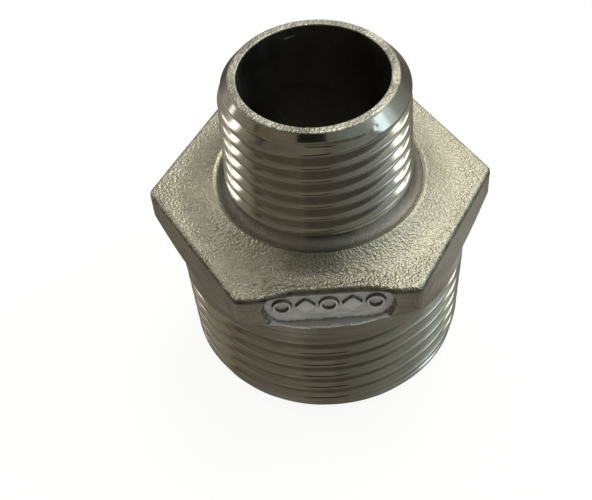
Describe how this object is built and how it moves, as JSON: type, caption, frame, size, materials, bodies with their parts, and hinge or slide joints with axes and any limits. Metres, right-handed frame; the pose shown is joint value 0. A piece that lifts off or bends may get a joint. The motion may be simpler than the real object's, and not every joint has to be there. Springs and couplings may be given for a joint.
{
  "type": "reducing hex nipple",
  "caption": "Reducing hex nipple: a hexagonal collar between a large and a small taper male pipe thread, with a waterway through it.",
  "frame": {"origin": "centre of the large end's face, on which the fitting stands", "axes": "+Z along the waterway from the large end to the small end; the flat with the size marks faces -Y; hexagon corners on +X and -X"},
  "size_m": [0.0388, 0.034, 0.0385],
  "materials": {
    "cast_steel": "investment-cast stainless steel, bead-blasted, fine pebbled cast skin with a warm grey sheen",
    "machined_steel": "turned stainless steel, bright and smooth with fine tool lines round the axis"
  },
  "bodies": {
    "root": {"hex_collar": "cast_steel", "small_spigot": "machined_steel", "small_thread": "machined_steel", "large_spigot": "machined_steel", "large_thread": "machined_steel", "size_marks": "cast_steel"}
  },
  "joints": []
}
